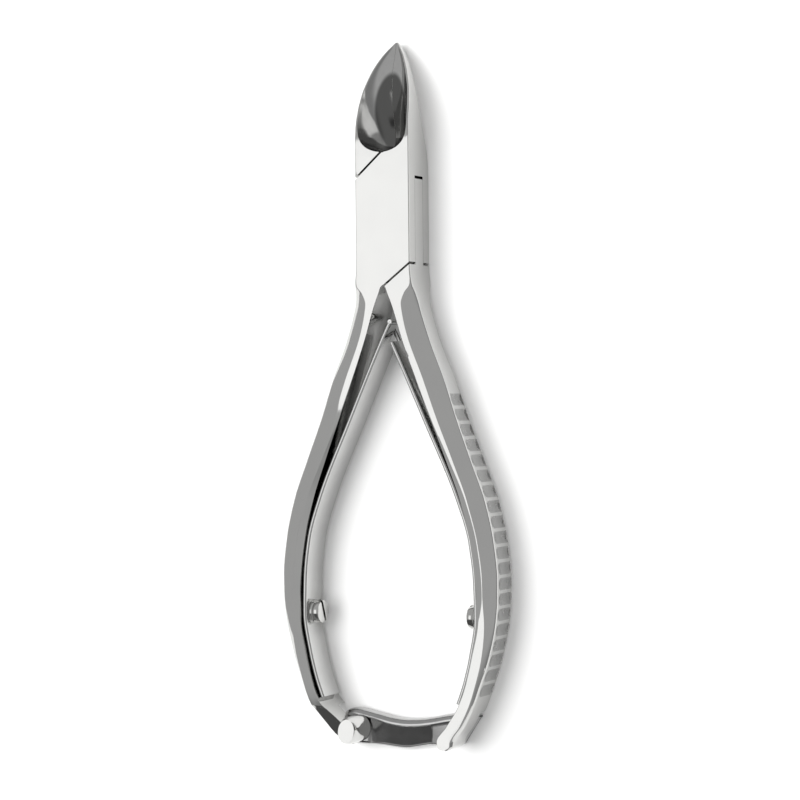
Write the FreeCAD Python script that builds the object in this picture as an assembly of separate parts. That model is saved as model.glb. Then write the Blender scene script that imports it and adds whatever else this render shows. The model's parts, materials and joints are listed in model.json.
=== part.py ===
"""Nail and cuticle nipper with a box joint, double leaf spring and swinging end lock.

Millimetres. The tool lies on its back: +Y runs towards the jaw tips, +Z is the front
face and the origin is the pivot axis where it meets the back face.
Half A is the right jaw, both box cheeks and the left handle.
Half B is the left jaw, the tongue between the cheeks and the right handle.
"""
import FreeCAD
import Part
import math
import os

V = FreeCAD.Vector

# Box joint
THICK = 8.8             # whole tool, back face to front face
MID = THICK / 2
BOX_HALF = 5.85         # half width of the box
SHOULDER_UP = 8.1       # where the upper seams meet the sides of the box
SHOULDER_LOW = -8.2     # where the lower seams meet the sides of the box
JAW_ROOT = 13.2         # where the upper seams meet on the centre line
CROTCH = -12.6          # where the lower seams meet on the centre line
TONGUE = 3.4            # thickness of the tongue between the cheeks
TONGUE_PLAY = 0.05      # running gap on each face of the tongue
SEAM = 0.42             # gap across each seam
PIVOT_R = 2.4
PIVOT_PLAY = 0.05

# Jaws: (y, half width), (y, z of the front rim), (y, z of the back)
JAW_TIP = 35.5
JAW_SIDE = [(16.5, BOX_HALF), (21.3, 5.68), (25.2, 5.2), (29.1, 4.08), (32.2, 2.7), (33.9, 1.62),
            (JAW_TIP, 0.06)]
JAW_FRONT = [(15.0, THICK), (18.5, 8.65), (22.0, 7.9), (26.0, 6.6), (30.0, 5.0), (33.0, 3.4), (JAW_TIP, 1.8)]
JAW_BACK = [(9.0, 0.0), (13.5, 0.6), (17.4, 2.0), (21.3, 3.1), (25.2, 3.6), (29.1, 3.3), (32.0, 2.5),
            (JAW_TIP, 1.2)]
JAW_GAP = 0.03          # each cutting edge stops this far from the centre plane
RIM = 0.3               # land left outside the hollow
EDGE_LAND = 0.35        # metal under the cutting edge
# Hollow between the jaws: (y, share of the half width, share of the depth)
HOLLOW = [
    (13.3, 0.10, 0.02), (13.9, 0.52, 0.34), (15.0, 0.80, 0.68), (16.8, 0.95, 0.93),
    (19.5, 1.0, 1.0), (23.5, 1.0, 1.0), (27.5, 1.0, 1.0), (31.0, 1.0, 1.0), (33.6, 1.0, 1.0),
]

# Handles: (y, inner x, outer x, bevel width, bevel height), mirrored for the other side
HANDLE_TOP = [
    (-7.6, 0.30, BOX_HALF, 0.12, 0.12),
    (-10.5, 0.30, 5.98, 0.6, 0.5),
    (-13.0, 0.55, 6.38, 1.7, 1.3),
    (-16.5, 1.95, 7.05, 3.0, 2.2),
    (-23.3, 4.15, 9.15, 3.6, 2.25),
    (-31.1, 7.05, 12.3, 3.7, 1.8),
    (-38.9, 10.1, 15.0, 3.5, 1.3),
    (-46.7, 13.2, 18.0, 3.2, 0.95),
    (-54.5, 16.1, 20.95, 3.0, 0.85),
    (-62.3, 18.2, 22.75, 2.6, 0.85),
    (-70.3, 19.2, 23.5, 2.2, 0.9),
    (-78.0, 19.3, 23.0, 1.8, 1.0),
    (-84.5, 18.2, 21.6, 1.4, 1.15),
    (-90.0, 16.85, 19.75, 1.2, 1.35),
    (-94.0, 15.3, 18.2, 1.0, 1.5),
]
RIGHT_END = [(-98.0, 12.75, 16.15, 0.9, 1.5), (-100.9, 10.55, 14.15, 0.9, 1.4)]
RIGHT_TIP = (12.35, -100.75)
RIGHT_TIP_R = 1.85
LEFT_END = [(-97.2, 13.0, 16.6, 1.0, 1.5)]

# Finger grooves down the outer side of each handle
GROOVES = 20
GROOVE_FIRST = -35.0
GROOVE_LAST = -91.0
GROOVE_R = 2.6
GROOVE_DEPTH = 0.28
GROOVE_HALF_LENGTH = 1.5
OUTER_SIDE = [(-31.1, 12.3), (-38.9, 15.0), (-46.7, 18.0), (-54.5, 20.95), (-62.3, 22.75),
              (-70.3, 23.5), (-78.0, 23.0), (-84.5, 21.6), (-90.0, 19.75), (-94.0, 18.2)]

# Lock: lever in a step at the back of both handle ends
LOCK_PIVOT = (-10.3, -99.7)
LOCK_EYE_R = 3.55
LOCK_Z = (0.35, 2.75)
STEP_Z = 3.0
STEP_PLAY = 0.45
LOCK_PIN_R = 1.3
LOCK_PIN_HEAD_R = 2.1
LOCK_PIN_HEAD = 0.7
LOCK_PIN_TOP = 6.6
CATCH = (12.7, -99.0)   # stud in the right handle whose nose meets a dimple in the lever
CATCH_R = 0.9
CATCH_NOSE = 2.8
CATCH_TOP = 5.6
DIMPLE_R = 1.2
DIMPLE_DEPTH = 0.5
LOBE = (-9.4, -100.2)
LOBE_R = 2.75
LOBE_FACET_R = 1.75

# Leaf springs and their screws
LEAF_T = 0.85
LEAF_Z = (1.0, 7.8)
FINGER_Z = ((1.0, 4.2), (4.6, 7.8))
LEAF_LINE = [(0.9, -19.7), (-0.95, -23.3), (-8.25, -38.9), (-15.05, -54.0),
             (-17.66, -62.3), (-18.6, -70.0), (-18.78, -77.0), (-17.6, -84.5),
             (-16.2, -89.9), (-14.85, -93.6)]
FINGER_FROM = -23.6
LEAF_ROLL_R = 0.62
SCREW_Y = -77.0
SCREW_FACE_X = 18.38    # where the heads sit on the leaves
SCREW_HEAD_R = 2.35
SCREW_HEAD = 2.2
SCREW_SLOT = 0.7
SCREW_SLOT_DEPTH = 0.8
SCREW_SHANK_R = 1.0
SCREW_SHANK = 3.4
SCREW_TILT = 20.0


def polygon(points, z0, z1):
    """A prism on a straight-sided outline, from z0 to z1."""
    corners = [V(x, y, z0) for x, y in points]
    face = Part.Face(Part.makePolygon(corners + corners[:1]))
    return face.extrude(V(0, 0, z1 - z0))


def cylinder(centre, radius, z0, z1):
    return Part.makeCylinder(radius, z1 - z0, V(centre[0], centre[1], z0))


def curve(points):
    spline = Part.BSplineCurve()
    spline.interpolate([V(*p) for p in points])
    return spline.toShape()


def mirrored(shape):
    return shape.mirror(V(0, 0, 0), V(1, 0, 0))


def at(table, y, column=1):
    """The value in a column of a table at y, between its rows on straight lines."""
    rows = sorted(table)
    for low, high in zip(rows, rows[1:]):
        if low[0] <= y <= high[0]:
            share = (y - low[0]) / (high[0] - low[0])
            return low[column] + share * (high[column] - low[column])
    return rows[0][column] if y < rows[0][0] else rows[-1][column]


def hexagon(grow):
    """Outline of the box, where the two halves cross, with its six sides moved out by grow."""
    slope_up = math.hypot(BOX_HALF, JAW_ROOT - SHOULDER_UP) / BOX_HALF
    slope_low = math.hypot(BOX_HALF, CROTCH - SHOULDER_LOW) / BOX_HALF
    up = grow * slope_up
    low = grow * slope_low
    return [
        (-BOX_HALF, SHOULDER_UP + up), (0, JAW_ROOT + up), (BOX_HALF, SHOULDER_UP + up),
        (BOX_HALF, SHOULDER_LOW - low), (0, CROTCH - low), (-BOX_HALF, SHOULDER_LOW - low),
    ]


def right_jaw():
    """Full-thickness jaw on the +X side, with its outer side, back and hollow."""
    low = 7.4
    side = curve([(x, y, 0) for y, x in JAW_SIDE])
    tip = V(JAW_GAP, JAW_TIP, 0)
    end = V(JAW_SIDE[-1][1], JAW_TIP, 0)
    straight = [V(JAW_GAP, low, 0), V(BOX_HALF, low, 0), V(BOX_HALF, JAW_SIDE[0][0], 0)]
    outline = Part.Wire([
        Part.LineSegment(straight[0], straight[1]).toShape(),
        Part.LineSegment(straight[1], straight[2]).toShape(),
        side,
        Part.LineSegment(end, tip).toShape(),
        Part.LineSegment(tip, straight[0]).toShape(),
    ])
    plan = Part.Face(outline).extrude(V(0, 0, THICK + 2))
    front = curve([(-1, y, z) for y, z in JAW_FRONT])
    back = curve([(-1, y, z) for y, z in reversed(JAW_BACK)])
    profile = Part.Wire([
        Part.LineSegment(V(-1, low - 1, THICK), V(-1, *JAW_FRONT[0])).toShape(),
        front,
        Part.LineSegment(V(-1, *JAW_FRONT[-1]), V(-1, *JAW_BACK[-1])).toShape(),
        back,
        Part.LineSegment(V(-1, *JAW_BACK[0]), V(-1, low - 1, 0)).toShape(),
        Part.LineSegment(V(-1, low - 1, 0), V(-1, low - 1, THICK)).toShape(),
    ])
    depth = Part.Face(profile).extrude(V(BOX_HALF + 3, 0, 0))
    return plan.common(depth).cut(hollow())


def hollow():
    """The spoon-shaped space in front of both cutting edges."""
    wires = []
    for y, width, deep in HOLLOW:
        x = width * (at([(0, BOX_HALF)] + JAW_SIDE, y) - RIM)
        rim = at([(0, THICK)] + JAW_FRONT, y)
        floor = rim - deep * (rim - at(JAW_BACK, y) - EDGE_LAND)
        bow = Part.BezierCurve()
        bow.setPoles([V(-x, y, rim), V(-0.72 * x, y, floor + 0.12 * (rim - floor)), V(0, y, floor)])
        rise = Part.BezierCurve()
        rise.setPoles([V(0, y, floor), V(0.72 * x, y, floor + 0.12 * (rim - floor)), V(x, y, rim)])
        top = THICK + 3
        wires.append(Part.Wire([
            bow.toShape(),
            rise.toShape(),
            Part.LineSegment(V(x, y, rim), V(x, y, top)).toShape(),
            Part.LineSegment(V(x, y, top), V(-x, y, top)).toShape(),
            Part.LineSegment(V(-x, y, top), V(-x, y, rim)).toShape(),
        ]))
    return Part.makeLoft(wires, True, False)


def right_handle(end):
    """Handle on the +X side: a smooth loft through six-sided sections."""
    wires = []
    for y, inner, outer, wide, high in HANDLE_TOP + end:
        section = [
            V(inner, y, 0), V(outer - wide, y, 0), V(outer, y, high),
            V(outer, y, THICK - high), V(outer - wide, y, THICK), V(inner, y, THICK),
        ]
        wires.append(Part.makePolygon(section + section[:1]))
    return Part.makeLoft(wires, True, False)


def grooves():
    """Shallow finger grooves across the outer side of the right handle."""
    cutters = []
    pitch = (GROOVE_LAST - GROOVE_FIRST) / (GROOVES - 1)
    for i in range(GROOVES):
        y = GROOVE_FIRST + i * pitch
        x = at(OUTER_SIDE, y) + GROOVE_R - GROOVE_DEPTH
        z0 = MID - GROOVE_HALF_LENGTH
        z1 = MID + GROOVE_HALF_LENGTH
        bar = Part.makeCylinder(GROOVE_R, z1 - z0, V(x, y, z0))
        ends = [Part.makeSphere(GROOVE_R, V(x, y, z)) for z in (z0, z1)]
        cutters.append(bar.fuse(ends).removeSplitter())
    return cutters


def left_lobe():
    """Broad end of the left handle, in front of the lock lever, with its faceted boss."""
    x, y = LOBE
    outline = [(-15.2, -95.5), (-14.4, -96.0), (-9.2, -98.0), (-9.3, -103.1),
               (-11.0, -103.1), (-12.9, -101.9), (-15.5, -98.1), (-16.9, -95.6)]
    plate = polygon(outline, STEP_Z, THICK - 0.9)
    boss = cylinder(LOBE, LOBE_R, STEP_Z, THICK - 1.3)
    facet = Part.makeCone(LOBE_R, LOBE_FACET_R, 1.3, V(x, y, THICK - 1.3))
    return plate.fuse([boss, facet])


def lever():
    """Swinging lock lever: eye, bowed strap and a head with a dimple for the catch stud."""
    z0, z1 = LOCK_Z
    eye_x, eye_y = LOCK_PIVOT
    top = [(eye_x + 0.6, eye_y + LOCK_EYE_R, z0), (-4.7, -97.1, z0), (0.6, -97.85, z0), (6.0, -97.3, z0),
           (11.0, -96.3, z0), (14.2, -95.9, z0)]
    low = [(13.0, -102.2, z0), (9.6, -102.5, z0), (6.3, -102.75, z0), (0.3, -103.7, z0),
           (-5.0, -103.35, z0), (eye_x, eye_y - LOCK_EYE_R, z0)]
    outline = Part.Wire([
        curve(top),
        Part.LineSegment(V(*top[-1]), V(16.7, -96.55, z0)).toShape(),
        Part.LineSegment(V(16.7, -96.55, z0), V(*low[0])).toShape(),
        curve(low),
        Part.LineSegment(V(*low[-1]), V(*top[0])).toShape(),
    ])
    body = Part.Face(outline).extrude(V(0, 0, z1 - z0))
    body = body.fuse(cylinder(LOCK_PIVOT, LOCK_EYE_R, z0, z1))
    body = body.cut(cylinder(LOCK_PIVOT, LOCK_PIN_R + PIVOT_PLAY, z0 - 1, z1 + 1))
    body = body.cut(cylinder(LOCK_PIVOT, LOCK_PIN_HEAD_R + 0.1, z0 - 1, LOCK_PIN_HEAD + 0.05 + z0))
    return body.cut(cylinder(CATCH, DIMPLE_R, z1 - DIMPLE_DEPTH, z1 + 1)).removeSplitter()


def catch_stud():
    """Stud pressed in the step of the right handle, with a chamfered nose."""
    chamfer = 0.15
    nose = Part.makeCone(CATCH_R - chamfer, CATCH_R, chamfer, V(*CATCH, CATCH_NOSE))
    return nose.fuse(cylinder(CATCH, CATCH_R, CATCH_NOSE + chamfer, CATCH_TOP)).removeSplitter()


def lock_pin():
    """Shouldered rivet that holds the lever in the left handle's end."""
    z0 = LOCK_Z[0]
    head = cylinder(LOCK_PIVOT, LOCK_PIN_HEAD_R, z0, z0 + LOCK_PIN_HEAD)
    return head.fuse(cylinder(LOCK_PIVOT, LOCK_PIN_R, z0, LOCK_PIN_TOP)).removeSplitter()


def leaf(finger):
    """Left leaf spring: a bent strip whose upper end is a half-width finger with a rolled tip."""
    points = [V(x, y, LEAF_Z[0]) for x, y in LEAF_LINE]
    line = Part.BSplineCurve()
    line.interpolate(points)
    sides = [[], []]
    steps = 28
    for i in range(steps + 1):
        t = line.FirstParameter + (line.LastParameter - line.FirstParameter) * i / steps
        p = line.value(t)
        along = line.tangent(t)[0]
        across = V(-along.y, along.x, 0) * (LEAF_T / 2)
        sides[0].append(p + across)
        sides[1].append(p - across)
    first = Part.BSplineCurve()
    first.interpolate(sides[0])
    second = Part.BSplineCurve()
    second.interpolate(list(reversed(sides[1])))
    outline = Part.Wire([
        first.toShape(),
        Part.LineSegment(sides[0][-1], sides[1][-1]).toShape(),
        second.toShape(),
        Part.LineSegment(sides[1][0], sides[0][0]).toShape(),
    ])
    strip = Part.Face(outline).extrude(V(0, 0, LEAF_Z[1] - LEAF_Z[0]))
    z0, z1 = finger
    below = Part.makeBox(9, 9, z0 + 1, V(-4, FINGER_FROM, -1))
    above = Part.makeBox(9, 9, 12 - z1, V(-4, FINGER_FROM, z1))
    strip = strip.cut([below, above])
    roll = cylinder(LEAF_LINE[0], LEAF_ROLL_R, z0, z1)
    hole = Part.makeCylinder(SCREW_SHANK_R + 0.05, 6, V(-22, SCREW_Y, MID), V(1, 0, 0))
    seat = Part.makeCylinder(SCREW_HEAD_R + 0.05, 3, V(-SCREW_FACE_X, SCREW_Y, MID), V(1, 0, 0))
    return strip.fuse(roll).cut([hole, seat])


def left_screw():
    """Cheese-head screw that holds the left leaf; its slot is turned a little off straight."""
    start = V(-SCREW_FACE_X, SCREW_Y, MID)
    head = Part.makeCylinder(SCREW_HEAD_R, SCREW_HEAD, start, V(1, 0, 0))
    shank = Part.makeCylinder(SCREW_SHANK_R, SCREW_SHANK, start, V(-1, 0, 0))
    slot_floor = start.x + SCREW_HEAD - SCREW_SLOT_DEPTH
    slot = Part.makeBox(2, 8, SCREW_SLOT, V(slot_floor, SCREW_Y - 4, MID - SCREW_SLOT / 2))
    slot.rotate(V(0, SCREW_Y, MID), V(1, 0, 0), SCREW_TILT)
    return head.fuse(shank).cut(slot).removeSplitter()


def screw_hole():
    start = V(-SCREW_FACE_X, SCREW_Y, MID)
    return Part.makeCylinder(SCREW_SHANK_R, SCREW_SHANK, start, V(-1, 0, 0))


def box_half():
    """Half A: right jaw, front and back cheeks, left handle with the lock step."""
    z0 = MID - TONGUE / 2
    z1 = MID + TONGUE / 2
    cheeks = [polygon(hexagon(0), 0, z0), polygon(hexagon(0), z1, THICK)]
    handle = mirrored(right_handle(LEFT_END).cut(grooves()))
    body = cheeks[0].fuse([cheeks[1], right_jaw(), handle, left_lobe()])
    body = body.cut(polygon(hexagon(SEAM), z0 - TONGUE_PLAY, z1 + TONGUE_PLAY))
    body = body.cut(cylinder((0, 0), PIVOT_R, -1, THICK + 1))
    body = body.cut(cylinder(LOCK_PIVOT, LOCK_EYE_R + STEP_PLAY, -1, STEP_Z))
    body = body.cut(polygon([(-20, -99), (-6, -99), (-6, -106), (-20, -106)], -1, STEP_Z))
    body = body.cut(cylinder(LOCK_PIVOT, LOCK_PIN_R, STEP_Z - 1, LOCK_PIN_TOP))
    return body.cut(screw_hole()).removeSplitter()


def tongue_half():
    """Half B: left jaw, tongue, right handle with the step for the lever's head."""
    z0 = MID - TONGUE / 2
    z1 = MID + TONGUE / 2
    tongue = polygon(hexagon(0), z0, z1)
    tip = cylinder(RIGHT_TIP, RIGHT_TIP_R, 0, THICK)
    body = tongue.fuse([mirrored(right_jaw()), right_handle(RIGHT_END).cut(grooves()), tip])
    for low, high in ((-1, z0), (z1, THICK + 1)):
        body = body.cut(polygon(hexagon(SEAM), low, high))
    body = body.cut(cylinder((0, 0), PIVOT_R + PIVOT_PLAY, -1, THICK + 1))
    step = [(8, -95.1), (20, -95.9), (20, -106), (8, -106)]
    body = body.cut(polygon(step, -1, STEP_Z))
    body = body.cut(cylinder(CATCH, CATCH_R, STEP_Z - 1, CATCH_TOP))
    return body.cut(mirrored(screw_hole())).removeSplitter()


def main():
    os.makedirs("parts", exist_ok=True)
    nodes = {
        "box_half": box_half(),
        "tongue_half": tongue_half(),
        "pivot_pin": cylinder((0, 0), PIVOT_R, 0, THICK),
        "left_leaf_spring": leaf(FINGER_Z[1]),
        "right_leaf_spring": mirrored(leaf(FINGER_Z[0])),
        "left_spring_screw": left_screw(),
        "right_spring_screw": mirrored(left_screw()),
        "lock_lever": lever(),
        "lock_pin": lock_pin(),
        "catch_stud": catch_stud(),
    }
    for name, shape in nodes.items():
        solid = shape.Solids[0] if len(shape.Solids) == 1 else shape
        solid.exportStep(f"parts/{name}.step")
        box = solid.BoundBox
        print(name, len(shape.Solids), "solids, valid", solid.isValid(), "volume %.1f" % solid.Volume,
              "x %.2f %.2f y %.2f %.2f z %.2f %.2f" % (box.XMin, box.XMax, box.YMin, box.YMax, box.ZMin, box.ZMax))


main()
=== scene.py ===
import json
import math

import bmesh
import bpy
from mathutils import Matrix, Vector


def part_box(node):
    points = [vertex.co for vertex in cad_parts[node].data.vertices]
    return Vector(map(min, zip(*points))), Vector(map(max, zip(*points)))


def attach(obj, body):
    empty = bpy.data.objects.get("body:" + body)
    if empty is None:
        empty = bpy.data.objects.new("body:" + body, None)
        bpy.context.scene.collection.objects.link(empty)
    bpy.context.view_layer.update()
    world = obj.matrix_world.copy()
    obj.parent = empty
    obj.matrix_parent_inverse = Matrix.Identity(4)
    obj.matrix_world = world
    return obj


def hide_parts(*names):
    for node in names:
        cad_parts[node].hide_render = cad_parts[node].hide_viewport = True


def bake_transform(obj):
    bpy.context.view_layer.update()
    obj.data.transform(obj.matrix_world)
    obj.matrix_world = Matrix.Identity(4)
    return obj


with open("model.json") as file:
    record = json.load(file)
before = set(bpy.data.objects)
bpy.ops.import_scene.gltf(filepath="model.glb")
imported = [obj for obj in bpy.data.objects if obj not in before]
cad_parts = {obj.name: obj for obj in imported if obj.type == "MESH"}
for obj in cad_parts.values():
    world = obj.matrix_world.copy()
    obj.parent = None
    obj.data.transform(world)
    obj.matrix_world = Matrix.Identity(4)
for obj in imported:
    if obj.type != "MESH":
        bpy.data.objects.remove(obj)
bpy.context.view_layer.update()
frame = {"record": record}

scene = bpy.context.scene
scene.view_settings.view_transform = "Standard"

# Camera: 45 cm from the tool and 27 degrees to its right, looking down at the bench, as in a catalogue shot.
# The long lens keeps both handles nearly parallel.
middle = Vector((0.00131, -0.035, 0.0044))
lean = math.radians(27)
camera = bpy.data.objects.new("camera", bpy.data.cameras.new("camera"))
scene.collection.objects.link(camera)
camera.data.sensor_width = 36
camera.data.lens = 103.3
camera.data.clip_start = 0.01
camera.data.clip_end = 10
camera.location = middle + 0.45 * Vector((math.sin(lean), 0, math.cos(lean)))
toward = Vector((math.sin(lean), 0, math.cos(lean)))
upward = Vector((0, 1, 0))
look = Matrix((upward.cross(toward), upward, toward)).transposed()
camera.rotation_euler = (look @ Matrix.Rotation(math.radians(-0.55), 3, "Z")).to_euler()
scene.camera = camera


# Bench top: a plain sheet of pale matt laminate that the tool lies on.
# It is cut large enough to fill the view from every side.
def linear(code):
    """A #rrggbb colour as the linear RGBA that the shaders take."""
    parts = [int(code[i : i + 2], 16) / 255 for i in (1, 3, 5)]
    return [c / 12.92 if c <= 0.04045 else ((c + 0.055) / 1.055) ** 2.4 for c in parts] + [1.0]


def add(tree, kind, settings=None, links=None):
    """Adds a node, sets its properties or input values, and links its inputs to other sockets."""
    node = tree.nodes.new(kind)
    for key, value in (settings or {}).items():
        if isinstance(key, int) or key in node.inputs:
            node.inputs[key].default_value = value
        else:
            setattr(node, key, value)
    for key, socket in (links or {}).items():
        tree.links.new(socket, node.inputs[key])
    return node


def new_material(name):
    material = bpy.data.materials.new(name)
    material.use_nodes = True
    material.node_tree.nodes.clear()
    return material, material.node_tree


def finish_mesh(bm, name, material, flat_above=35):
    """Turns a bmesh into a linked object with smooth faces and sharp edges above an angle."""
    mesh = bpy.data.meshes.new(name)
    bm.to_mesh(mesh)
    bm.free()
    mesh.shade_smooth()
    mesh.set_sharp_from_angle(angle=math.radians(flat_above))
    obj = bpy.data.objects.new(name, mesh)
    scene.collection.objects.link(obj)
    for one in material if isinstance(material, (list, tuple)) else [material]:
        mesh.materials.append(one)
    return obj


laminate, tree = new_material("pale_matt_laminate")
where = add(tree, "ShaderNodeTexCoord")
mottle = add(tree, "ShaderNodeTexNoise", {"Scale": 18.0, "Detail": 3.0}, {"Vector": where.outputs["Object"]})
sheet_tones = {"data_type": "RGBA", 6: linear("#f4f4f3"), 7: linear("#f7f7f7")}
tint = add(tree, "ShaderNodeMix", sheet_tones, {0: mottle.outputs["Fac"]})
shader = add(tree, "ShaderNodeBsdfPrincipled", {"Roughness": 0.75, "Specular IOR Level": 0.2},
             {"Base Color": tint.outputs[2]})
add(tree, "ShaderNodeOutputMaterial", None, {"Surface": shader.outputs[0]})
bm = bmesh.new()
bmesh.ops.create_grid(bm, x_segments=1, y_segments=1, size=3.0)
bmesh.ops.translate(bm, verts=bm.verts, vec=(0, 0, -0.00005))
bench = finish_mesh(bm, "bench_top", laminate)


# Studio light: one softbox that the flat faces mirror, a broad fill from each side, and a dim grey room.
# The room is darker past the foot of the bench on the left, which is what the lock lever mirrors.
def softbox(name, place, aim, width, height, watts, mirrored=True):
    lamp = bpy.data.lights.new(name, "AREA")
    lamp.shape = "RECTANGLE"
    lamp.size = width
    lamp.size_y = height
    lamp.energy = watts
    obj = bpy.data.objects.new(name, lamp)
    scene.collection.objects.link(obj)
    obj.location = place
    obj.rotation_euler = (Vector(aim) - Vector(place)).to_track_quat("-Z", "Y").to_euler()
    obj.visible_glossy = mirrored
    return obj


softbox("main_softbox", (-0.364, -0.095, 0.802), (-0.364, -0.095, 0), 0.46, 0.52, 0.70)
softbox("fill_from_left", (-0.6, 0.15, 1.2), (0, -0.03, 0), 1.2, 1.2, 19, mirrored=False)
softbox("fill_from_right", (0.75, -0.1, 1.1), (0, -0.03, 0), 1.5, 1.5, 5.5, mirrored=False)

room = bpy.data.worlds.new("grey_studio")
room.use_nodes = True
tree = room.node_tree
tree.nodes.clear()
where = add(tree, "ShaderNodeTexCoord")
split = add(tree, "ShaderNodeSeparateXYZ", None, {0: where.outputs["Generated"]})


def ramp(tree, socket, start, end, lowest=0.0):
    """A soft step from the lowest value at start to 1 at end."""
    span = {"From Min": start, "From Max": end, "To Min": lowest, "To Max": 1.0}
    span["interpolation_type"] = "SMOOTHSTEP"
    return add(tree, "ShaderNodeMapRange", span, {"Value": socket}).outputs[0]


past_foot = ramp(tree, split.outputs["Y"], -0.42, -0.2)
right_half = ramp(tree, split.outputs["X"], 0.0, 0.25)
far_right = ramp(tree, split.outputs["X"], 0.92, 0.6, 0.45)
not_foot = add(tree, "ShaderNodeMath", {"operation": "MAXIMUM"}, {0: past_foot, 1: right_half})
lit = add(tree, "ShaderNodeMath", {"operation": "MULTIPLY"}, {0: not_foot.outputs[0], 1: far_right})
room_tones = {"data_type": "RGBA", 6: linear("#565656"), 7: linear("#bdbdbd")}
shade = add(tree, "ShaderNodeMix", room_tones, {0: lit.outputs[0]})
glow = add(tree, "ShaderNodeBackground", {"Strength": 1.0}, {"Color": shade.outputs[2]})
add(tree, "ShaderNodeOutputWorld", None, {"Surface": glow.outputs[0]})
scene.world = room


# Forged halves: two mirror-image forgings of stainless steel, each a jaw, half of the box joint and a handle.
# They are ground to flats and bevels, buffed to a mirror, and cross at the box joint.
MM = 0.001
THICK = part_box("pivot_pin")[1].z / MM
MID = THICK / 2
BOX = 5.85
TONGUE_LOW = 2.7
TONGUE_HIGH = 6.1
SEAM = 0.42

# Plan from jaw tip to handle end. A row has y, the inner and outer x, the outer bevel's width and height,
# the inner bevel's width and height, and how far the flat falls towards its outer edge.
PLAN = [
    (35.5, 0.03, 0.3, 0.05, 0.05, 0, 0, 0),
    (34.9, 0.03, 0.8, 0.09, 0.09, 0, 0, 0),
    (33.9, 0.03, 1.6, 0.09, 0.09, 0, 0, 0),
    (32.2, 0.03, 2.68, 0.1, 0.1, 0, 0, 0),
    (29.1, 0.03, 4.06, 0.1, 0.1, 0, 0, 0),
    (25.2, 0.03, 5.18, 0.1, 0.1, 0, 0, 0),
    (21.3, 0.03, 5.66, 0.1, 0.1, 0, 0, 0),
    (16.5, 0.03, BOX, 0.1, 0.1, 0, 0, 0),
    (13.0, 0.0, BOX, 0.1, 0.1, 0, 0, 0),
    (-7.6, 0.0, BOX, 0.1, 0.1, 0, 0, 0),
    (-9.6, 0.0, 5.9, 0.12, 0.12, 0, 0, 0),
    (-11.5, 0.0, 6.1, 0.16, 0.15, 0, 0, 0),
    (-12.5, 0.0, 6.24, 0.35, 0.28, 0, 0, 0),
    (-12.8, 0.42, 6.3, 0.5, 0.36, 0, 0, 0),
    (-14.2, 1.0, 6.56, 1.9, 1.15, 0, 0, 0),
    (-16.5, 1.95, 7.05, 3.1, 1.75, 0, 0, 0),
    (-23.3, 4.15, 9.15, 3.65, 1.9, 0, 0, 0),
    (-31.1, 7.05, 12.3, 3.7, 1.7, 0.05, 0.03, 0),
    (-38.9, 10.1, 15.0, 3.5, 1.45, 0.2, 0.08, 0.03),
    (-46.7, 13.2, 18.0, 3.3, 1.2, 0.75, 0.22, 0.02),
    (-54.5, 16.1, 20.95, 3.25, 1.1, 1.25, 0.35, 0.012),
    (-62.3, 18.2, 22.75, 2.95, 1.0, 1.35, 0.4, 0.01),
    (-69.5, 19.15, 23.48, 2.75, 0.95, 1.35, 0.4, 0.01),
    (-73.5, 19.33, 23.42, 2.6, 0.95, 1.25, 0.38, 0.01),
    (-78.0, 19.3, 23.0, 1.9, 0.95, 0.5, 0.2, 0.05),
    (-84.5, 18.2, 21.6, 1.15, 0.9, 0.2, 0.1, 0.1),
    (-90.0, 16.85, 19.75, 0.75, 0.85, 0.12, 0.08, 0.1),
    (-94.0, 15.3, 18.2, 0.6, 0.8, 0.1, 0.06, 0.1),
]
RIGHT_END = [
    (-98.0, 12.75, 16.15, 0.6, 0.8, 0.1, 0.06, 0.1),
    (-100.9, 10.7, 14.15, 0.6, 0.8, 0.1, 0.06, 0.1),
    (-101.7, 10.75, 13.95, 0.5, 0.7, 0.08, 0.05, 0.1),
    (-102.25, 11.2, 13.45, 0.35, 0.5, 0.05, 0.05, 0.1),
    (-102.55, 11.85, 12.85, 0.2, 0.3, 0.05, 0.05, 0.1),
]
# The left handle slopes down in front of the lock lever, from y and z to y and z, and ends under a boss.
LEFT_END = [
    (-96.2, 13.3, 16.95, 0.6, 0.9, 0.1, 0.06, 0.1),
    (-98.5, 11.0, 15.3, 0.5, 0.8, 0.1, 0.06, 0.1),
    (-100.7, 9.3, 13.75, 0.5, 0.8, 0.1, 0.06, 0.1),
    (-102.2, 8.9, 12.2, 0.45, 0.7, 0.1, 0.06, 0.1),
    (-102.9, 9.2, 11.2, 0.35, 0.6, 0.05, 0.05, 0.1),
]
LEFT_DROP = [(-95.3, THICK), (-95.7, 8.5), (-96.6, 8.0), (-98.5, 7.25), (-100.5, 6.45), (-102.9, 5.5)]
# The left handle's flat is given a stronger fall than the right one's. That is judged from its darker tone.
RIGHT_LEAN = 1.0
LEFT_LEAN = 3.5

# Side view of the jaws: y and z of the front, then y and z of the back
FRONT = [
    (35.5, 1.8), (33.0, 3.4), (30.0, 5.0), (26.0, 6.6), (22.0, 7.9), (18.5, 8.65), (15.0, THICK), (0, THICK),
]
BACK = [
    (35.5, 1.2), (32.0, 2.5), (29.1, 3.3), (25.2, 3.6), (21.3, 3.1), (17.4, 2.0), (13.5, 0.6), (9.0, 0),
    (0, 0),
]
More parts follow.
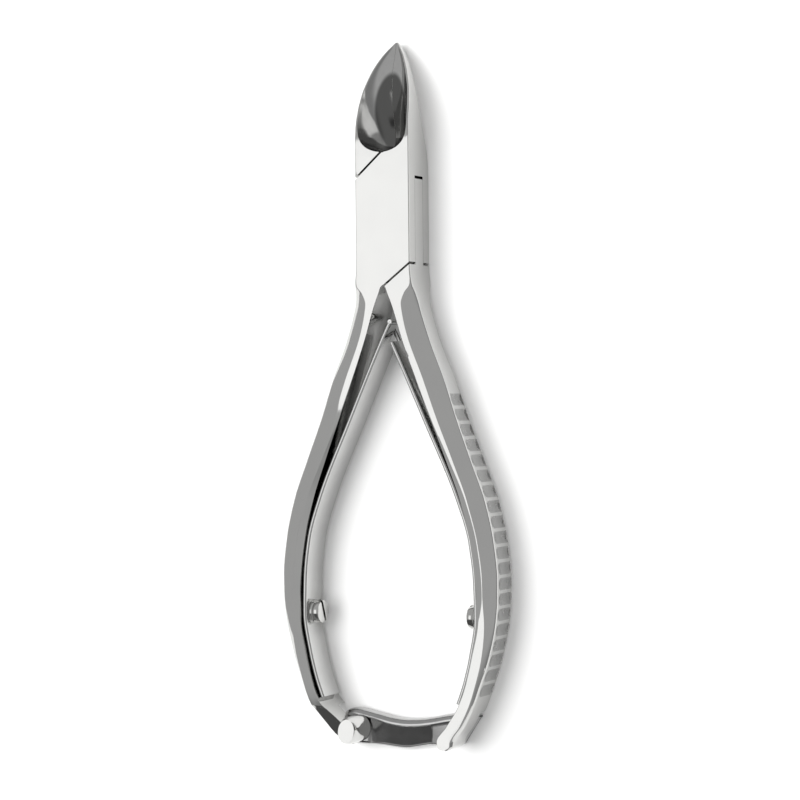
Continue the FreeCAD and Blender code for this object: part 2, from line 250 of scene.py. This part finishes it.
# Hollow behind the cutting edges: y, rim's share of the half width, share of the depth
HOLLOW_END = 13.2
HOLLOW = [
    (35.5, 0.9, 0.0), (35.1, 0.9, 0.0), (34.4, 0.97, 0.7), (32.5, 1.0, 1.0), (27.5, 1.0, 1.0),
    (23.5, 1.0, 1.0), (19.5, 1.0, 1.0), (17.2, 0.965, 0.96), (15.6, 0.86, 0.86), (14.5, 0.68, 0.7),
    (13.8, 0.45, 0.5), (13.4, 0.2, 0.28), (13.28, 0.06, 0.1), (HOLLOW_END, 0.05, 0.0), (8, 0.3, 0.0),
    (-20, 0.3, 0.0),
]
RIM = 0.3
EDGE_LAND = 0.35
GROOVES = 20
GROOVE_FIRST = -35.0
GROOVE_ROW = 56.0
GROOVE_PITCH = GROOVE_ROW / (GROOVES - 1)
GROOVE_MARGIN = 1.5
GROOVE_R = 2.6
GROOVE_DEPTH = 0.28
GROOVE_ABOVE = 1.5
GROOVE_BELOW = 2.4
# The halves part below the box at the crotch, and the handles' corners are rounder than the box's.
CROTCH_Y = -12.9
HANDLE_TOP = -8
BOX_CORNER_R = 0.1
HANDLE_CORNER_R = 0.36
# Step behind each handle's end, where the lock lever lies
STEP_Y = -95.6
STEP_Z = 3.0


def smooth_at(table, y, column):
    """The value in a column of a table at y, on a smooth curve that never overshoots its rows."""
    rows = sorted(table)
    if y <= rows[0][0]:
        return rows[0][column]
    if y >= rows[-1][0]:
        return rows[-1][column]
    i = next(k for k in range(len(rows) - 1) if y <= rows[k + 1][0])

    def slope(k):
        return (rows[k + 1][column] - rows[k][column]) / (rows[k + 1][0] - rows[k][0])

    def tangent(k):
        if k == 0 or k == len(rows) - 1:
            return slope(min(k, len(rows) - 2))
        before, after = slope(k - 1), slope(k)
        return 0.0 if before * after <= 0 else 2 * before * after / (before + after)

    step = rows[i + 1][0] - rows[i][0]
    t = (y - rows[i][0]) / step
    a, b = rows[i][column], rows[i + 1][column]
    ta, tb = tangent(i) * step, tangent(i + 1) * step
    rise = 3 * t**2 - 2 * t**3
    return a * (1 - rise) + b * rise + ta * (t**3 - 2 * t**2 + t) + tb * (t**3 - t**2)


def arc_corner(before, corner, after, reach, count=3):
    """Points of a small round at a corner of a section."""
    a, c, b = Vector(before), Vector(corner), Vector(after)
    near = min(reach, 0.45 * (a - c).length, 0.45 * (b - c).length)
    start = c + (a - c).normalized() * near
    end = c + (b - c).normalized() * near
    return [start.lerp(c, t).lerp(c.lerp(end, t), t) for t in (k / count for k in range(count + 1))]


def groove_dip(y, z):
    """How deep the finger grooves are at a point of the outer side."""
    number = min(max(round((GROOVE_FIRST - y) / GROOVE_PITCH), 0), GROOVES - 1)
    off = y - (GROOVE_FIRST - number * GROOVE_PITCH)
    high = max(0.0, z - MID - GROOVE_ABOVE, MID - GROOVE_BELOW - z)
    inside = GROOVE_R**2 - off**2 - high**2
    return max(0.0, math.sqrt(inside) - (GROOVE_R - GROOVE_DEPTH)) if inside > 0 else 0.0


def section(y, end, drop, lean):
    """Outline of a half at y: hollow or front flat, bevel, outer side, back bevel, back, inner side."""
    inner, outer, wide, high, in_wide, in_high, fall = (smooth_at(PLAN + end, y, k) for k in range(1, 8))
    fall *= lean
    front = smooth_at(FRONT + drop, y, 1)
    back = smooth_at(BACK, y, 1)
    share = smooth_at(HOLLOW, y, 1)
    deep = smooth_at(HOLLOW, y, 2)
    rim = inner + share * max(outer - wide - RIM - inner, 0.02)
    if y < CROTCH_Y:
        rim = inner + max(in_wide, 0.02)
    floor = front - max(deep * (front - back - EDGE_LAND), in_high)
    points = []
    bowl = 12
    bend = 0.72 if deep > 0 else 0.5
    sag = 0.12 if deep > 0 else 0.5
    elbow = Vector((inner + bend * (rim - inner), floor + sag * (front - floor)))
    lip = Vector((rim, front))
    base = Vector((inner, floor))
    for k in range(bowl + 1):
        t = k / bowl
        points.append(base.lerp(elbow, t).lerp(elbow.lerp(lip, t), t))
    a = Vector((outer - wide, front - fall))
    b = Vector((outer, front - high - fall))
    c = Vector((outer, back + high))
    d = Vector((outer - wide, back))
    e = Vector((inner, back))
    points += [lip.lerp(a, t) for t in (0.3, 0.6)]
    points += arc_corner(lip, a, b, 0.12)
    crown = 0.015 * (a - b).length
    out = Vector((b.y - a.y, a.x - b.x)).normalized() * -crown
    points += [a.lerp(b, t) + out * 4 * t * (1 - t) for t in (0.3, 0.5, 0.7)]
    reach = BOX_CORNER_R if y > HANDLE_TOP else HANDLE_CORNER_R
    points += arc_corner(a, b, c, reach, 4)
    side = [0.94, 0.88, 0.82, 0.76, 0.68, 0.58, 0.5, 0.42, 0.32, 0.24, 0.18, 0.12, 0.06]
    for t in side:
        p = c.lerp(b, t)
        points.append(p - Vector((groove_dip(y, p.y), 0)))
    points += arc_corner(b, c, d, reach, 4)
    under = Vector((out.x, -out.y))
    points += [c.lerp(d, t) + under * 4 * t * (1 - t) for t in (0.3, 0.5, 0.7)]
    points += arc_corner(c, d, e, 0.12)
    points += [d.lerp(e, t) for t in (0.35, 0.7)]
    points += arc_corner(d, e, base, 0.08, 2)
    points += [e.lerp(base, t) for t in (0.3, 0.6)]
    return [Vector((p.x, y, p.y)) * MM for p in points]


def stations(low):
    """The y values of the sections, close together in the jaws, the crotch and the grooves."""
    ys = [PLAN[0][0] - k * 0.45 for k in range(40)]
    ys += [k * 0.12 + HOLLOW_END for k in range(30)]
    ys += [12.9, 12.0, 10.5, 8.1, 4, 0, -4, -7.6]
    ys += [-8 - k * 0.5 for k in range(50)]
    edge = math.sqrt(GROOVE_R**2 - (GROOVE_R - GROOVE_DEPTH) ** 2)
    across = [-edge - 0.04, -edge + 0.02, -0.85, -0.45, 0, 0.45, 0.85, edge - 0.02, edge + 0.04]
    for n in range(GROOVES):
        for off in [-GROOVE_PITCH / 2] + across:
            ys.append(GROOVE_FIRST - n * GROOVE_PITCH + off)
    ys += [-92.8 - k * 0.35 for k in range(22)]
    ys += [-100.5 - k * 0.15 for k in range(14)]
    kept = []
    for y in sorted((v for v in ys if low <= v), reverse=True):
        if not kept or kept[-1] - y > 0.05:
            kept.append(y)
    if kept[-1] - low > 0.02:
        kept.append(low)
    return kept


def sweep(bm, loops, closed_ends=True):
    """Skins a row of outlines, by extruding the first one on to each of the others."""
    ring = [bm.verts.new(p) for p in loops[0]]
    count = len(ring)
    edges = [bm.edges.new((ring[i], ring[(i + 1) % count])) for i in range(count)]
    if closed_ends:
        bm.faces.new(ring)
    for loop in loops[1:]:
        made = bmesh.ops.extrude_edge_only(bm, edges=edges)["geom"]
        fresh = {v for v in made if isinstance(v, bmesh.types.BMVert)}
        ring = [next(e.other_vert(v) for e in v.link_edges if e.other_vert(v) in fresh) for v in ring]
        for vert, place in zip(ring, loop):
            vert.co = place
        edges = [bm.edges.get((ring[i], ring[(i + 1) % count])) for i in range(count)]
    if closed_ends:
        bm.faces.new(ring)
    bmesh.ops.recalc_face_normals(bm, faces=bm.faces)


def cut(bm, place, away):
    """Cuts a closed shell with a plane, drops what lies on the away side and closes the cut."""
    parts = bm.verts[:] + bm.edges[:] + bm.faces[:]
    made = bmesh.ops.bisect_plane(bm, geom=parts, dist=1e-8, plane_co=Vector(place) * MM, plane_no=away,
                                  clear_outer=True)
    rim_edges = [g for g in made["geom_cut"] if isinstance(g, bmesh.types.BMEdge) and g.is_boundary]
    if rim_edges:
        bmesh.ops.contextual_create(bm, geom=rim_edges)


def mark_finishes(bm):
    """Gives the finger grooves the second material and the hollow of the jaws the third."""
    first = GROOVE_FIRST + GROOVE_MARGIN
    last = GROOVE_FIRST - GROOVE_ROW - GROOVE_MARGIN
    for face in bm.faces:
        centre = face.calc_center_median() / MM
        if abs(centre.x) > 11 and last < centre.y < first and groove_dip(centre.y, centre.z) > 0.02:
            if abs(face.normal.z) < 0.8 and face.normal.x * centre.x > 0:
                face.material_index = 1
        below_front = centre.z < smooth_at(FRONT, centre.y, 1) - 0.05
        if centre.y > HOLLOW_END and below_front and face.normal.z > 0.02:
            inside = smooth_at(PLAN, centre.y, 2) - smooth_at(PLAN, centre.y, 3) - RIM
            if abs(centre.x) < inside + 0.05 and centre.z > smooth_at(BACK, centre.y, 1) + 0.2:
                face.material_index = 2


def notch(bm, y, z):
    """Takes away the corner below both y and z, where the lock lever lies, and closes the step."""
    for place, away in (((0, 0, z), (0, 0, 1)), ((0, y, 0), (0, 1, 0))):
        parts = bm.verts[:] + bm.edges[:] + bm.faces[:]
        bmesh.ops.bisect_plane(bm, geom=parts, dist=1e-8, plane_co=Vector(place) * MM, plane_no=away)
    gone = [f for f in bm.faces if f.calc_center_median().y < y * MM and f.calc_center_median().z < z * MM]
    bmesh.ops.delete(bm, geom=gone, context="FACES")
    open_edges = [e for e in bm.edges if e.is_boundary]
    ledge = [e for e in open_edges if all(abs(v.co.z - z * MM) < 1e-7 for v in e.verts)]
    wall = [e for e in open_edges if e not in ledge]
    ends = [v for v in {v for e in ledge for v in e.verts} if any(e in wall for e in v.link_edges)]
    corner = bm.edges.new(ends)
    bmesh.ops.contextual_create(bm, geom=ledge + [corner])
    bmesh.ops.contextual_create(bm, geom=wall + [corner])


def strip(low, end, drop, lean):
    """One side of the tool, from the jaw tip down to y = low, on the +X side."""
    bm = bmesh.new()
    sweep(bm, [section(y, end, drop, lean) for y in stations(low)])
    notch(bm, STEP_Y, STEP_Z)
    mark_finishes(bm)
    mesh = bpy.data.meshes.new("strip")
    bm.to_mesh(mesh)
    bm.free()
    return mesh


UPPER = (BOX, 8.1, 0), (5.1, BOX, 0)
LOWER = (BOX, -8.2, 0), (4.4, -BOX, 0)


def join(target, piece):
    """Moves everything in one bmesh into another."""
    mesh = bpy.data.meshes.new("piece")
    piece.to_mesh(mesh)
    piece.free()
    target.from_mesh(mesh)
    bpy.data.meshes.remove(mesh)


def shell(target, mesh, left, planes):
    """Adds to target a copy of a strip, on the left if asked, cut by planes given for the +X side."""
    bm = bmesh.new()
    bm.from_mesh(mesh)
    for place, away in planes:
        cut(bm, place, away)
    if left:
        bmesh.ops.scale(bm, vec=(-1, 1, 1), verts=bm.verts)
    bmesh.ops.recalc_face_normals(bm, faces=bm.faces)
    join(target, bm)


def moved(plane, distance):
    """A plane moved along its own normal, in mm."""
    place, away = Vector(plane[0]), Vector(plane[1]).normalized()
    return tuple(place + away * distance), tuple(away)


def turned(plane):
    """The same plane, facing the other way."""
    return plane[0], tuple(-Vector(plane[1]))


def half(handle, jaw, handle_left):
    """One forging: its handle, its jaw on the other side, and the cheeks or the tongue between them."""
    bm = bmesh.new()
    upper_gap = moved(UPPER, SEAM)
    lower_gap = moved(LOWER, SEAM)
    shell(bm, handle, handle_left, [turned(lower_gap)])
    shell(bm, jaw, not handle_left, [turned(upper_gap)])
    layers = [((0, 0, TONGUE_LOW - 0.05), (0, 0, 1)), ((0, 0, TONGUE_HIGH + 0.05), (0, 0, -1))]
    if handle_left:
        for layer in layers:
            shell(bm, handle, True, [lower_gap, UPPER, layer])
            shell(bm, jaw, False, [LOWER, upper_gap, layer])
    else:
        tongue = [((0, 0, TONGUE_LOW), (0, 0, -1)), ((0, 0, TONGUE_HIGH), (0, 0, 1))]
        shell(bm, handle, False, [lower_gap, UPPER] + tongue)
        shell(bm, jaw, True, [LOWER, upper_gap] + tongue)
    return bm


# The steel is taken as a hardened chrome stainless, ground and buffed to a mirror. To the eye it is a neutral
# grey with faint clouds of buffing haze.
def polished_metal(name, colour, worn, haze_scale, rough, rough_haze, line_scale, line_depth):
    """Polished steel whose roughness drifts in clouds and whose surface has fine polishing lines along Y."""
    material, tree = new_material(name)
    where = add(tree, "ShaderNodeTexCoord")
    clouds = add(tree, "ShaderNodeTexNoise", {"Scale": haze_scale, "Detail": 4.0, "Roughness": 0.55},
                 {"Vector": where.outputs["Object"]})
    stretch = add(tree, "ShaderNodeMapping", {"Scale": (1.0, 0.06, 1.0)}, {"Vector": where.outputs["Object"]})
    lines = add(tree, "ShaderNodeTexNoise", {"Scale": line_scale, "Detail": 2.0},
                {"Vector": stretch.outputs[0]})
    tint = add(tree, "ShaderNodeMix", {"data_type": "RGBA", 6: linear(colour), 7: linear(worn)},
               {0: clouds.outputs["Fac"]})
    span = {"From Min": 0.35, "From Max": 0.7, "To Min": rough, "To Max": rough_haze}
    haze = add(tree, "ShaderNodeMapRange", span, {"Value": clouds.outputs["Fac"]})
    relief = {"Strength": 0.12, "Distance": line_depth}
    bump = add(tree, "ShaderNodeBump", relief, {"Height": lines.outputs["Fac"]})
    shader = add(tree, "ShaderNodeBsdfPrincipled", {"Metallic": 1.0},
                 {"Base Color": tint.outputs[2], "Roughness": haze.outputs[0], "Normal": bump.outputs[0]})
    add(tree, "ShaderNodeOutputMaterial", None, {"Surface": shader.outputs[0]})
    return material


# Clouds of buffing haze about 8 mm across; polishing lines 0.15 mm apart.
mirror_steel = polished_metal(
    "stainless_steel_mirror_buffed", "#cfcfcd", "#c8c8c7", 120, 0.05, 0.1, 6000, 0.000002
)
# The grooves are pressed before polishing, so the mop doesn't reach them and they stay duller and darker.
groove_steel = polished_metal(
    "stainless_steel_pressed_satin", "#b0b0af", "#a2a2a1", 300, 0.22, 0.3, 3000, 0.000004
)
# The hollow of the jaws is cut with a small wheel and only lightly buffed.
hollow_steel_and_painted_reflection = polished_metal(
    "stainless_steel_hollow_ground_with_painted_reflection", "#d0d0cf", "#c2c2c1", 500, 0.08, 0.15, 4000, 0.000003
)
# The middle of the hollow carries a painted reflection: a darker grey oval, 7 mm wide and 16 mm long with a
# soft edge. It stands for the dark surroundings that the real hollow mirrors there, so its steel is not known
# to be darker.
tree = hollow_steel_and_painted_reflection.node_tree
shader = next(n for n in tree.nodes if n.type == "BSDF_PRINCIPLED")
plain = shader.inputs["Base Color"].links[0].from_socket
where = add(tree, "ShaderNodeTexCoord")
oval = add(tree, "ShaderNodeMapping", {"Location": (0.0, -2.7, 0.0), "Scale": (290.0, 125.0, 0.0)},
           {"Vector": where.outputs["Object"]})
away = add(tree, "ShaderNodeVectorMath", {"operation": "LENGTH"}, {0: oval.outputs[0]})
painted_reflection_mask = ramp(tree, away.outputs["Value"], 1.04, 0.88)
# Painted reflection: the darker grey is mixed into the hollow's colour inside the oval.
painted_reflection = add(tree, "ShaderNodeMix", {"data_type": "RGBA", 7: linear("#6f6f6e")}, {0: painted_reflection_mask, 6: plain})
tree.links.new(painted_reflection.outputs[2], shader.inputs["Base Color"])
forged_finishes = [mirror_steel, groove_steel, hollow_steel_and_painted_reflection]

right_strip = strip(RIGHT_END[-1][0], RIGHT_END, [], RIGHT_LEAN)
left_strip = strip(LEFT_END[-1][0], LEFT_END, LEFT_DROP, LEFT_LEAN)


# Boss at the left handle's end, over the lever's rivet: an oval, turned a little and ground flat on top.
# A ring has its half widths across and along, and its height.
BOSS = (-9.1, -100.0)
BOSS_TURN = math.radians(-12)
BOSS_RINGS = [
    (2.4, 2.65, 3.0), (2.4, 2.72, 6.6), (2.36, 2.7, 7.2), (2.24, 2.65, 7.8), (2.0, 2.54, 8.4),
    (1.75, 2.36, 8.78),
]


def boss():
    """Oval boss at the end of the left handle, ground flat on top, over the lever's pivot."""
    loops = []
    for a, b, z in BOSS_RINGS:
        loop = []
        for k in range(48):
            angle = k * math.tau / 48
            x, y = a * math.cos(angle), b * math.sin(angle)
            east = BOSS[0] + x * math.cos(BOSS_TURN) - y * math.sin(BOSS_TURN)
            north = BOSS[1] + x * math.sin(BOSS_TURN) + y * math.cos(BOSS_TURN)
            loop.append(Vector((east, north, z)) * MM)
        loops.append(loop)
    bm = bmesh.new()
    sweep(bm, loops)
    return bm


box_half_mesh = half(left_strip, right_strip, True)
join(box_half_mesh, boss())
box_forging = finish_mesh(box_half_mesh, "forging_left_handle_right_jaw", forged_finishes, 22)
tongue_half_mesh = half(right_strip, left_strip, False)
tongue_forging = finish_mesh(tongue_half_mesh, "forging_right_handle_left_jaw", forged_finishes, 22)
for used in (right_strip, left_strip):
    bpy.data.meshes.remove(used)
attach(box_forging, "box_half")
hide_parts("box_half")
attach(tongue_forging, "tongue_half")
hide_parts("tongue_half")


# Pivot: a steel pin pressed into both cheeks of the box. Its ends are ground flush and buffed with the
# cheeks, so that the joint looks like one solid block from outside.
def turned_part(bm, profile, place, axis, segments=48):
    """Spins a profile of (radius, height) rows round an axis at a place, all in mm."""
    verts = [bm.verts.new((r * MM, 0, h * MM)) for r, h in profile]
    edges = [bm.edges.new(pair) for pair in zip(verts, verts[1:])]
    bmesh.ops.spin(bm, geom=verts + edges, cent=(0, 0, 0), axis=(0, 0, 1), angle=math.tau, steps=segments,
                   use_merge=True)
    bmesh.ops.remove_doubles(bm, verts=bm.verts, dist=1e-7)
    bmesh.ops.recalc_face_normals(bm, faces=bm.faces)
    turn = Vector((0, 0, 1)).rotation_difference(Vector(axis)).to_matrix().to_4x4()
    bmesh.ops.transform(bm, matrix=Matrix.Translation(Vector(place) * MM) @ turn, verts=bm.verts)


# Free-cutting stainless, turned and polished: rings of tool marks too fine to see, a slightly softer shine.
turned_steel = polished_metal(
    "stainless_steel_turned_polished", "#d2d2d0", "#c4c4c2", 400, 0.08, 0.14, 9000, 0.000002
)
PIN_R = 2.4
bm = bmesh.new()
pin_profile = [(0, 0.05), (PIN_R - 0.1, 0.05), (PIN_R, 0.15), (PIN_R, 8.6), (PIN_R - 0.1, 8.7), (0, 8.7)]
turned_part(bm, pin_profile, (0, 0, 0), (0, 0, 1))
pin = finish_mesh(bm, "pivot_pin_ground_flush", turned_steel)
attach(pin, "box_half")
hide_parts("pivot_pin")


# Leaf springs: two strips of hardened spring steel, clamped to the handles near their ends.
# Their upper ends are half-width fingers with rolled tips that pass each other and push the handles apart.
# A row of the strip's run has y and x.
LEAF = [
    (-19.7, -0.9), (-23.3, 0.95), (-38.9, 8.25), (-54.0, 15.05), (-62.3, 17.66), (-70.0, 18.6),
    (-77.0, 18.78), (-84.5, 17.6), (-89.9, 16.2), (-93.6, 14.85),
]
LEAF_LOW = 1.0
LEAF_HIGH = 7.8
LEAF_HALF = 0.425
LEAF_EDGE_R = 0.36
FINGER_ROOT = -23.75
ROLL_R = 0.62


def leaf_section(y, low, high):
    """Outline of the strip at y, square to its run, with slightly rounded edges."""
    before, after = smooth_at(LEAF, y - 0.05, 1), smooth_at(LEAF, y + 0.05, 1)
    along = Vector((after - before, 0.1)).normalized()
    across = Vector((along.y, -along.x))
    centre = Vector((smooth_at(LEAF, y, 1), y))
    r = LEAF_EDGE_R
    flat = []
    turns = (0, 0.4, 0.8, 1.17, 1.57)
    for a, z, sa, sz in (
        (LEAF_HALF, high, -1, -1),
        (LEAF_HALF, low, -1, 1),
        (-LEAF_HALF, low, 1, 1),
        (-LEAF_HALF, high, 1, -1),
    ):
        rounded = [(a + sa * r * (1 - math.sin(t)), z + sz * r * (1 - math.cos(t))) for t in turns]
        flat += rounded if sa == sz else rounded[::-1]
    return [Vector((centre.x + across.x * a, centre.y + across.y * a, z)) * MM for a, z in flat]


def leaf_spring(name, side, finger):
    """A strip on the given side, -1 left or 1 right, whose finger lies between two heights."""
    ys = [LEAF[-1][0] + k * 0.6 for k in range(117)] + [FINGER_ROOT, FINGER_ROOT + 0.15, FINGER_ROOT + 0.25]
    ys += [-23.3 + k * 0.3 for k in range(13)]
    loops = []
    for y in sorted(ys):
        t = min(max((y - FINGER_ROOT) / 0.25, 0.0), 1.0)
        low = LEAF_LOW + (finger[0] - LEAF_LOW) * t
        high = LEAF_HIGH + (finger[1] - LEAF_HIGH) * t
        loops.append(leaf_section(y, low, high))
    bm = bmesh.new()
    sweep(bm, loops)
    roll = bmesh.new()
    z0, z1 = finger
    upper = [(ROLL_R, z1 - 0.2), (ROLL_R - 0.2, z1), (0, z1)]
    turned_part(roll, [(0, z0), (ROLL_R - 0.2, z0), (ROLL_R, z0 + 0.2)] + upper,
                (LEAF[0][1], LEAF[0][0], 0), (0, 0, 1), 24)
    join(bm, roll)
    bmesh.ops.scale(bm, vec=(side, 1, 1), verts=bm.verts)
    bmesh.ops.recalc_face_normals(bm, faces=bm.faces)
    return finish_mesh(bm, name, spring_steel, 40)


# Cold-rolled stainless spring strip, buffed after hardening: hazier than the forgings, with lines along it.
spring_steel = polished_metal(
    "spring_steel_strip_buffed", "#cbcbca", "#bfbfbe", 260, 0.08, 0.16, 5000, 0.000003
)
# Each strip is built on its side, its placement is baked into its mesh, and the CAD leaf it stands for is
# hidden.
for side, word, finger, held_by in (
    (-1, "left", (4.6, LEAF_HIGH), "box_half"),
    (1, "right", (LEAF_LOW, 4.2), "tongue_half"),
):
    leaf = leaf_spring(word + "_leaf_spring_strip", side, finger)
    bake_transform(leaf)
    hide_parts(word + "_leaf_spring")


# Spring screws: turned cheese-head screws with a sawn slot, one through the foot of each leaf into its
# handle. The head's edge is turned round, and the slot stands a little off square.
screw_low, screw_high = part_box("right_spring_screw")
SCREW_HEAD = 2.2
SCREW_SEAT = (screw_low.x / MM + SCREW_HEAD, (screw_low.y + screw_high.y) / 2 / MM, MID)
SLOT_DEPTH = 0.85
SLOT_HALF = 0.35
SLOT_TURN = math.radians(20)
# Radius and height of the head's outline, with a fine groove round its foot
HEAD = [
    (0, 0), (2.2, 0), (2.35, 0.15), (2.35, 0.6), (2.28, 0.72), (2.35, 0.84), (2.35, 1.75), (2.22, 2.05),
    (1.95, SCREW_HEAD), (0, SCREW_HEAD),
]
SHANK = [(0, 0), (1.0, 0), (1.0, 3.2), (0.8, 3.4), (0, 3.4)]


def spring_screw(side):
    """A screw on the given side: the head below its slot, the two cheeks of the slot, and the shank."""
    bm = bmesh.new()
    across = Vector((0, -math.sin(SLOT_TURN), math.cos(SLOT_TURN)))
    floor = (SCREW_SEAT[0] - SCREW_HEAD + SLOT_DEPTH, 0, 0)
    one_wall = Vector(SCREW_SEAT) + across * SLOT_HALF
    other_wall = Vector(SCREW_SEAT) - across * SLOT_HALF
    for planes in (
        [(floor, (-1, 0, 0))],
        [(floor, (1, 0, 0)), (one_wall, -across)],
        [(floor, (1, 0, 0)), (other_wall, across)],
    ):
        piece = bmesh.new()
        turned_part(piece, HEAD, SCREW_SEAT, (-1, 0, 0))
        for place, away in planes:
            cut(piece, place, away)
        join(bm, piece)
    shank = bmesh.new()
    turned_part(shank, SHANK, SCREW_SEAT, (1, 0, 0), 24)
    join(bm, shank)
    bmesh.ops.scale(bm, vec=(side, 1, 1), verts=bm.verts)
    bmesh.ops.recalc_face_normals(bm, faces=bm.faces)
    return bm


for side, word, body in ((-1, "left", "box_half"), (1, "right", "tongue_half")):
    screw = finish_mesh(spring_screw(side), word + "_spring_screw_slotted", turned_steel)
    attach(screw, body)
    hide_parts(word + "_spring_screw")


# Lock lever: a bowed bar of spring steel that swings on a rivet under the left boss and lies behind the
# right handle. Its upper edge is rounded, and its face is slightly hollow between eye and head.
LEVER_TOP = [
    (-9.7, -96.15), (-4.7, -97.1), (-2.0, -97.6), (0.6, -97.8), (3.2, -97.68), (6.0, -97.3), (11.0, -96.3),
    (14.2, -95.9), (16.7, -96.5),
]
LEVER_LOW = [(-10.3, -103.25), (-5.0, -103.35), (0.3, -103.7), (6.3, -102.75), (9.6, -102.5), (13.0, -102.2)]
LEVER_BACK, LEVER_FRONT = (corner.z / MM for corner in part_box("lock_lever"))
HEAD_START = 13.0
HEAD_SLOPE = 5.6 / 3.7
hinges = {joint["name"]: joint["pos_m"] for joint in frame["record"]["behaviour"]["joints"]}
EYE = (hinges["lock_swing"][0] / MM, hinges["lock_swing"][1] / MM)
EYE_R = 3.55
THUMB_R = 1.15


def lever_section(x):
    """Outline of the lever at x, in y and z."""
    if x < -10:
        reach = math.sqrt(max(EYE_R**2 - (x - EYE[0]) ** 2, 0.04))
        top, low = EYE[1] + reach, EYE[1] - reach
    else:
        top = smooth_at(LEVER_TOP, x, 1)
        low = smooth_at(LEVER_LOW, x, 1)
    if x > HEAD_START:
        low = LEVER_LOW[-1][1] + (x - HEAD_START) * HEAD_SLOPE
    back, front = LEVER_BACK, LEVER_FRONT
    tall = top - low
    edge = min(1.25, 0.3 * tall)
    lip = min(0.45, 0.12 * tall)
    spring_line = front - THUMB_R
    points = [(top - 0.25, back), (top, back + 0.25), (top, spring_line)]
    for t in (0.35, 0.7, 1.05, 1.35):
        points.append((top - edge * (1 - math.cos(t)), spring_line + THUMB_R * math.sin(t)))
    points += [(top - edge, front), (top - edge - 0.12, front - 0.02)]
    span = tall - edge - lip - 0.45
    for k in range(9):
        t = k / 8
        y = top - edge - 0.28 - span * t
        arc = 6.9 - 0.48 * ((y + 100.2) / 2.2) ** 2
        inside = min(max((arc - x) / 0.25, 0.0), 1.0) * min(max(x + 7.5, 0.0), 1.0)
        hollow_face = front - 0.2 - 0.62 * t
        plain_face = front - 0.06 - 0.3 * t
        points.append((y, plain_face + (hollow_face - plain_face) * inside))
    end_z = points[-1][1]
    points += [(low + lip, end_z + 0.1), (low + lip * 0.6, end_z + 0.08)]
    points += [(low + 0.12, end_z - 0.1), (low, end_z - 0.4)]
    points += [(low, back + 0.25), (low + 0.25, back), ((top + low) / 2, back)]
    return [Vector((x, y, z)) * MM for y, z in points]


# The lever is blanked from strip, ground and buffed like the springs, but its hollow face is only satin.
lever_steel = polished_metal(
    "spring_steel_bar_ground_satin", "#bcbcbb", "#aeaeae", 350, 0.12, 0.2, 2500, 0.000003
)
xs = [-13.83, -13.75, -13.6, -13.4, -13.1, -12.7, -12.2, -11.6, -11.0, -10.4]
xs += [-9.9 + 0.5 * k for k in range(32)]
xs += [6.2 + 0.08 * k for k in range(14)]
xs += [7.4 + 0.4 * k for k in range(23)] + [16.65]
bm = bmesh.new()
sweep(bm, [lever_section(x) for x in sorted(set(xs))])
lever = finish_mesh(bm, "lock_lever_bowed", lever_steel, 30)
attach(lever, "lock")
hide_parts("lock_lever")


# Lock rivet: a shouldered pin with a low domed head at the back, riveted into the boss of the left handle.
# It is turned steel like the screws, and the lever's eye swings on it.
bm = bmesh.new()
dome = [(0, 0.12), (0.8, 0.15), (1.5, 0.24), (1.95, 0.36), (2.1, 0.5), (2.1, 0.9)]
stem = [(1.3, 1.0), (1.3, 6.4), (0, 6.6)]
turned_part(bm, dome + stem, (*EYE, 0), (0, 0, 1))
rivet = finish_mesh(bm, "lock_rivet_domed", turned_steel)
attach(rivet, "box_half")
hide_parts("lock_pin")


# Catch stud: a short hardened pin pressed in the step of the right handle.
# Its chamfered nose faces the lever's head and stops just short of it.
stud_low, stud_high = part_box("catch_stud")
stud_middle = (stud_low + stud_high) / 2 / MM
STUD_R = 0.9
STUD_LENGTH = 2.8
bm = bmesh.new()
nose = [(0, 0), (STUD_R - 0.18, 0), (STUD_R, 0.15)]
root = [(STUD_R, STUD_LENGTH - 0.1), (STUD_R - 0.1, STUD_LENGTH), (0, STUD_LENGTH)]
turned_part(bm, nose + root, (stud_middle.x, stud_middle.y, stud_low.z / MM), (0, 0, 1), 32)
stud = finish_mesh(bm, "catch_stud_chamfered", turned_steel)
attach(stud, "tongue_half")
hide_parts("catch_stud")
